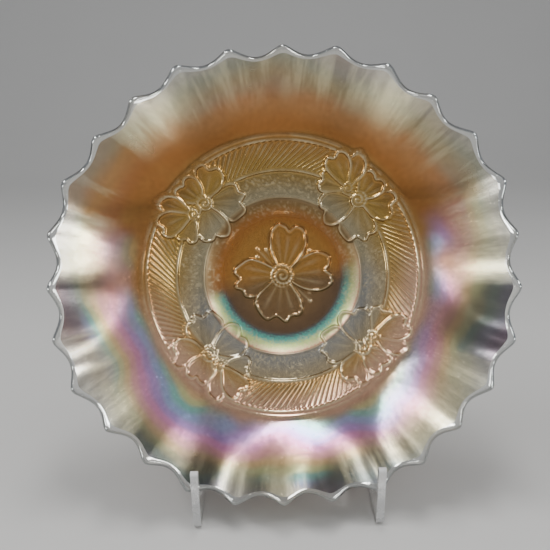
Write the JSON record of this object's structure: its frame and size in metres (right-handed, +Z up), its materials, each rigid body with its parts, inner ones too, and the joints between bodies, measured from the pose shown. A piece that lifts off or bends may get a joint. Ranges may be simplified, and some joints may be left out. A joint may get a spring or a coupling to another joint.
{
  "type": "ruffled glass bowl on display stand",
  "caption": "Round ruffled iridescent pressed-glass bowl with a scalloped rim, leaning upright in a clear plastic display stand.",
  "frame": {"origin": "centre of the assembly's outline on the surface that the stand's feet rest on", "axes": "+Z up, the bowl's mouth faces -Y and leans back by 20 degrees, +X to the viewer's right"},
  "size_m": [0.2314, 0.14, 0.2268],
  "materials": {
    "iridescent_glass": "polished, iridescent",
    "clear_plastic": "polished, clear"
  },
  "bodies": {
    "stand": {"left_side_frame": "clear_plastic", "right_side_frame": "clear_plastic", "front_cross_rod": "clear_plastic", "rear_cross_rod": "clear_plastic"},
    "bowl": {"glass_bowl": "iridescent_glass"}
  },
  "joints": [
    {"name": "lift_off", "type": "slide", "parent": "stand", "child": "bowl", "axis": [0, 0, 1], "range_m": [0, 0.2]}
  ]
}
